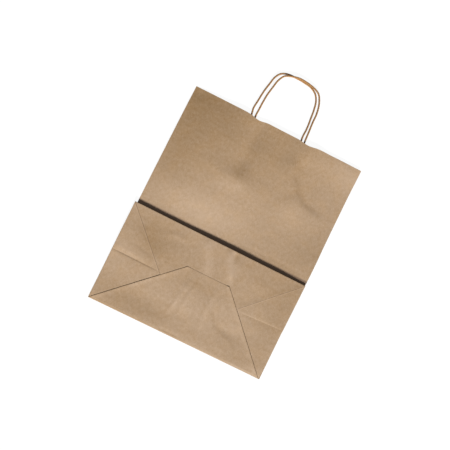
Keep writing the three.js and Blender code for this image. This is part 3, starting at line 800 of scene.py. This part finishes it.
def smooth_route(route, count):
    """Points at equal distances along the centripetal Catmull-Rom curve through a route."""
    given = np.array(route, float)
    knots = np.vstack([2 * given[0] - given[1], given, 2 * given[-1] - given[-2]])
    times = np.concatenate([[0], np.cumsum(np.linalg.norm(np.diff(knots, axis=0), axis=1) ** 0.5)])
    share = np.linspace(0, 1, ROUTE_STEPS, endpoint=False)[None, :, None]
    p0, p1, p2, p3 = (knots[i:len(knots) - 3 + i, None, :] for i in range(4))
    t0, t1, t2, t3 = (times[i:len(knots) - 3 + i, None, None] for i in range(4))
    t = t1 + (t2 - t1) * share
    a1 = p0 + (p1 - p0) * (t - t0) / (t1 - t0)
    a2 = p1 + (p2 - p1) * (t - t1) / (t2 - t1)
    a3 = p2 + (p3 - p2) * (t - t2) / (t3 - t2)
    b1 = a1 + (a2 - a1) * (t - t0) / (t2 - t0)
    b2 = a2 + (a3 - a2) * (t - t1) / (t3 - t1)
    curve = np.vstack([(b1 + (b2 - b1) * (t - t1) / (t2 - t1)).reshape(-1, 3), given[-1:]])
    run = np.concatenate([[0], np.cumsum(np.linalg.norm(np.diff(curve, axis=0), axis=1))])
    even = np.linspace(0, run[-1], count)
    return np.stack([np.interp(even, run, curve[:, axis]) for axis in range(3)], 1), run[-1]


def twisted_tube(centres, length, radius, pitch, sides=24, strands=3):
    """Tube round a line of centres: the radius falls between the strands, which go round once in each
    pitch."""
    run = np.linspace(0, length, len(centres))[:, None]
    angle = np.linspace(0, 2 * math.pi, sides, endpoint=False)[None, :]
    ahead = np.gradient(centres, axis=0)
    ahead /= np.linalg.norm(ahead, axis=1, keepdims=True)
    aside = np.cross(ahead, (0, 0, 1))
    aside /= np.linalg.norm(aside, axis=1, keepdims=True)
    upward = np.cross(aside, ahead)
    crown = np.cos(0.5 * strands * (angle - 2 * math.pi * run / pitch)) ** 2
    reach = radius * (1 - GROOVE_DEPTH * (1 - crown))
    rings = centres[:, None] + reach[..., None] * (
        np.cos(angle)[..., None] * aside[:, None] + np.sin(angle)[..., None] * upward[:, None])
    count = len(centres)
    index = np.arange(count * sides).reshape(count, sides)
    beside = np.roll(index, -1, axis=1)
    faces = np.stack([index[:-1], beside[:-1], beside[1:], index[1:]], -1).reshape(-1, 4)
    ends = np.array([index[0][::-1], index[-1]])
    places = np.stack([np.broadcast_to(angle * radius, crown.shape), np.broadcast_to(run, crown.shape)], -1)
    return rings.reshape(-1, 3), faces, ends, places.reshape(-1, 2) * MM, (1 - crown).ravel()


class BAG_OT_studio(bpy.types.Operator):
    """Makes the camera, the floor, the lamp and the pale surroundings"""

    bl_idname = "paper_bag.studio"
    bl_label = "Studio"

    def execute(self, context):
        scene = context.scene
        camera_data = bpy.data.cameras.new("camera")
        camera_data.sensor_width = SENSOR
        camera_data.lens = LENS
        camera = bpy.data.objects.new("camera", camera_data)
        scene.collection.objects.link(camera)
        right = Vector(CAMERA_RIGHT).normalized()
        up = Vector(CAMERA_TOP)
        up = (up - up.dot(right) * right).normalized()
        turn = Matrix((right, up, right.cross(up))).transposed().to_4x4()
        camera.matrix_world = Matrix.Translation(CAMERA_PLACE) @ turn
        scene.camera = camera

        floor_mesh = bpy.data.meshes.new("floor")
        ways = (-1, -1), (1, -1), (1, 1), (-1, 1)
        corners = [(x * FLOOR_REACH, y * FLOOR_REACH, FLOOR_LEVEL) for x, y in ways]
        floor_mesh.from_pydata(corners, [], [(0, 1, 2, 3)])
        floor_mesh.materials.append(floor_material("white_paper_sweep", scene.bag_colours.floor))
        floor = bpy.data.objects.new("floor", floor_mesh)
        scene.collection.objects.link(floor)

        # One far soft lamp, low beyond the near right corner. With the sky it shows a flat sheet as written
        level = math.cos(LAMP_HEIGHT)
        toward = Vector((level * math.sin(LAMP_TURN), -level * math.cos(LAMP_TURN), math.sin(LAMP_HEIGHT)))
        lamp_data = bpy.data.lights.new("key", "SUN")
        lamp_data.angle = LAMP_WIDTH
        lamp_data.energy = LAMP_LIGHT * math.pi / math.sin(LAMP_HEIGHT)
        lamp = bpy.data.objects.new("key", lamp_data)
        turn = toward.to_track_quat("Z", "Y").to_matrix().to_4x4()
        lamp.matrix_world = Matrix.Translation(2 * toward) @ turn
        scene.collection.objects.link(lamp)

        world = bpy.data.worlds.new("pale_surroundings")
        world.use_nodes = True
        tree = world.node_tree
        tree.nodes.clear()
        seen = add_node(tree, "ShaderNodeLightPath").outputs["Is Camera Ray"]
        glow = add_node(
            tree, "ShaderNodeBackground", values={"Color": (1, 1, 1, 1)},
            links={"Strength": span(tree, seen, 0.0, 1.0, SKY_LIGHT, 1.0)})
        add_node(tree, "ShaderNodeOutputWorld", links={"Surface": glow.outputs["Background"]})
        scene.world = world
        scene.view_settings.view_transform = "Standard"
        return {"FINISHED"}


class BAG_OT_handles(bpy.types.Operator):
    """Makes the two twisted paper handle cords"""

    bl_idname = "paper_bag.handles"
    bl_label = "Handle cords"

    def execute(self, context):
        sizes, colours = context.scene.bag_sizes, context.scene.bag_colours
        layout = Layout(sizes)
        finish = cord_material("twisted_kraft_paper_cord", colours.cord, colours.cord_groove_shade)
        for name, node, route in (
            ("back_handle", "back_handle_cord", BACK_ROUTE),
            ("front_handle", "front_handle_cord", FRONT_ROUTE),
        ):
            given = np.array(route, float) + (0, layout.height, 0)
            centres, length = smooth_route(given, CORD_RINGS)
            points, faces, ends, places, groove = twisted_tube(
                centres, length, sizes.cord_diameter / MM / 2, sizes.twist_pitch / MM)
            mesh = bpy.data.meshes.new(name)
            mesh.from_pydata(in_frame(points), [], faces.tolist() + ends.tolist())
            dress_mesh(mesh, places, groove=groove)
            cord = add_piece(mesh, finish, node)
        return {"FINISHED"}


class BAG_OT_patches(bpy.types.Operator):
    """Makes the four paper strips inside the mouth that hold the handle legs"""

    bl_idname = "paper_bag.patches"
    bl_label = "Handle patches"

    def execute(self, context):
        layout = Layout(context.scene.bag_sizes)
        colours = context.scene.bag_colours
        finish = kraft_material("kraft_paper_strip", colours.patch, colours.kraft_dark, seed=0.37)
        across = lines(layout.patch_left, layout.patch_right, PATCH_STEP)
        run = layout.patch_top - layout.patch_bottom
        shares = lines(0, run, PATCH_ROW, dense=(layout.leg_end - layout.patch_bottom,)) / run

        def room(x):
            return 2 * layout.over_gusset(x, layout.PATCH_SLOPE)

        for below, (name, extra, legs) in enumerate((
            ("back_patch_backing", at(0), at(0)),
            ("back_patch_cover", at(0), layout.back_ridge),
            ("front_patch_cover", room, layout.back_ridge),
            ("front_patch_backing", room, layout.both_ridges),
        )):
            def height(x, y):
                return layout.layer * (1 + below + extra(x)) + layout.ridge_rise * legs(x, y)

            part = ply(
                across, shares, at(layout.patch_bottom), at(layout.patch_top), height, layout.paper,
                (PATCH_SHIFT * below, PATCH_SPOT))
            add_piece(build_mesh(f"{name}_strip", [part]), finish, name)
        return {"FINISHED"}


class BAG_OT_folded_sheet(bpy.types.Operator):
    """Makes the folded and pasted sheet: panels, gussets and the turned-up block bottom"""

    bl_idname = "paper_bag.folded_sheet"
    bl_label = "Folded sheet"

    def execute(self, context):
        colours = context.scene.bag_colours
        layout = Layout(context.scene.bag_sizes)
        parts = self.body_plies(layout) + self.bottom_plies(layout)
        for side in (-1, 1):
            parts += self.gusset_plies(layout, side)
        mesh = build_mesh("folded_bag", parts)
        points = np.empty(3 * len(mesh.vertices), np.float32)
        mesh.vertices.foreach_get("co", points)
        x, y, z = (points.reshape(-1, 3) / MM - FRAME_SHIFT).T
        # Painted light and shade of the sheet as attributes: the painted darker and paler places and lines,
        # and the painted shade in the gap under the sprung edge
        under = (y > layout.depth - DEEP_START) * (z < layout.edge_lift - DEEP_DROP)
        set_attributes(
            mesh, tone=swells(x, y, PAINTED_SHADE_AND_LIGHT) - bends(x, y, PAINTED_LIGHT_LINES),
            deep=DEEP_SHARE * ease((layout.depth + DEEP_REACH - y) / DEEP_FADE) * under)
        finish = kraft_material("machine_finished_kraft_paper", colours.kraft, colours.kraft_dark, seed=0.0)
        add_piece(mesh, finish, "bag_body")
        return {"FINISHED"}

    def body_plies(self, layout):
        """Back panel, front panel from its hidden fold, and the strip up to the sprung edge."""
        across = lines(layout.body_left, layout.body_right, MESH_STEP)
        coarse = lines(layout.body_left, layout.body_right, COARSE_STEP, dense=(LEFT_DIP, RIGHT_DIP))
        start, seen_from, thickness = layout.front_fold, layout.depth - SEEN_UNDER, layout.paper
        hidden = np.linspace(start, seen_from, HIDDEN_ROWS, endpoint=False)
        seen = lines(seen_from, layout.height, MESH_STEP)
        rows = (np.concatenate([hidden, seen]) - start) / (layout.height - start)
        strip_rows = lines(0, layout.depth - start, COARSE_STEP) / (layout.depth - start)
        return [
            ply(coarse, np.linspace(0, 1, BACK_ROWS), at(0), layout.mouth, at(0), thickness, BACK_SPOT),
            ply(across, rows, at(start), layout.mouth, layout.panel, thickness, FRONT_SPOT),
            ply(coarse, strip_rows, at(start), at(layout.depth), layout.strip, thickness, STRIP_SPOT),
        ]

    def gusset_plies(self, layout, side):
        """Back and front ply of one gusset, and the two plies of its folded corner."""
        reach = side * lines(layout.inner_fold, layout.half_width, HIDDEN_STEP)
        body_x, corner_x = np.sort(BODY_OFFSET + reach), np.sort(reach)
        thickness, spot = layout.paper, (GUSSET_SPOT + SIDE_SHIFT * side, 0)
        steps = lines(0, CORNER_RUN, HIDDEN_STEP) / CORNER_RUN
        up = lines(0, GUSSET_RUN, HIDDEN_ROW) / GUSSET_RUN
        middle = at(layout.half_depth)

        def near_fold(x):
            return layout.half_width - np.abs(x)

        corners = [
            ply(corner_x, steps, middle, layout.far_edge, layout.corner_upper, thickness, spot),
            ply(corner_x, steps, near_fold, layout.far_edge, layout.corner_lower, thickness, spot),
        ]
        return [
            ply(body_x, up, layout.to_side, layout.mouth, layout.gusset_back, thickness, spot),
            ply(body_x, up, middle, layout.mouth, layout.gusset_front, thickness, spot),
            *(layout.spread(corner) for corner in corners),
        ]

    def bottom_plies(self, layout):
        """Side flaps innermost, then the tucked corners, the far flap and the near flap, pasted on each
        other."""
        half, depth, length, thickness = layout.half_width, layout.depth, layout.flap_length, layout.paper
        tip = half - length
        side_rows = np.unique(np.concatenate([lines(0, depth, MESH_STEP), np.arange(*CREASE_ROWS)])) / depth
        rows, thin_rows = (lines(0, length, step) / length for step in (MESH_STEP, HIDDEN_STEP))

        def near_end(x):
            return np.minimum(length, layout.near_edge(x))

        def far_end(x):
            return np.maximum(layout.far_flap_end, layout.far_edge(x))

        parts = []
        for side in (-1, 1):
            out, thin = (np.sort(side * lines(tip, half, step)) for step in (SIDE_FLAP_STEP, COARSE_STEP))
            spot = (SIDE_FLAP_SPOT + SIDE_SHIFT * side, 0)
            parts += [
                ply(out, side_rows, at(0), at(depth), layout.bottom, thickness, spot),
                ply(thin, thin_rows, at(0), near_end, layout.tucked_corner, thickness, spot),
                ply(thin, thin_rows, layout.far_edge, at(depth), layout.tucked_corner, thickness, spot),
            ]
        left_tip = length / layout.NEAR_SLOPE_LEFT - half
        right_tip = half - length / layout.NEAR_SLOPE_RIGHT
        whole = lines(-half, half, MESH_STEP, dense=(-tip, left_tip, right_tip, tip))
        parts.append(ply(whole, rows, far_end, at(depth), layout.far_flap, thickness, FAR_FLAP_SPOT))
        near_flap = ply(whole, rows, at(0), near_end, layout.near_flap, thickness, NEAR_FLAP_SPOT)
        return [*(layout.spread(part) for part in parts), layout.spread(near_flap, topmost=True)]


class BAG_PT_panel(bpy.types.Panel):
    """Sizes, colours and makers of the folded bag"""

    bl_idname = "BAG_PT_panel"
    bl_label = "Folded Paper Bag"
    bl_space_type = "VIEW_3D"
    bl_region_type = "UI"
    bl_category = "Paper Bag"

    def draw(self, context):
        for group in (context.scene.bag_sizes, context.scene.bag_colours):
            box = self.layout.box()
            for name in group.bl_rna.properties.keys():
                if name not in ("rna_type", "name"):
                    box.prop(group, name)
        for operator in MAKERS:
            self.layout.operator(operator.bl_idname)


MAKERS = (BAG_OT_studio, BAG_OT_handles, BAG_OT_patches, BAG_OT_folded_sheet)
CLASSES = (BagSizes, BagColours, *MAKERS, BAG_PT_panel)


def register():
    """Registers the classes and hangs the settings on the scene."""
    for each in CLASSES:
        bpy.utils.register_class(each)
    bpy.types.Scene.bag_sizes = bpy.props.PointerProperty(type=BagSizes)
    bpy.types.Scene.bag_colours = bpy.props.PointerProperty(type=BagColours)


def unregister():
    """Takes the settings off the scene and unregisters the classes."""
    del bpy.types.Scene.bag_colours
    del bpy.types.Scene.bag_sizes
    for each in reversed(CLASSES):
        bpy.utils.unregister_class(each)


def main():
    """Makes the stage and every piece in order."""
    register()
    bpy.ops.paper_bag.studio()
    bpy.ops.paper_bag.handles()
    bpy.ops.paper_bag.patches()
    bpy.ops.paper_bag.folded_sheet()


if __name__ == "__main__":
    main()
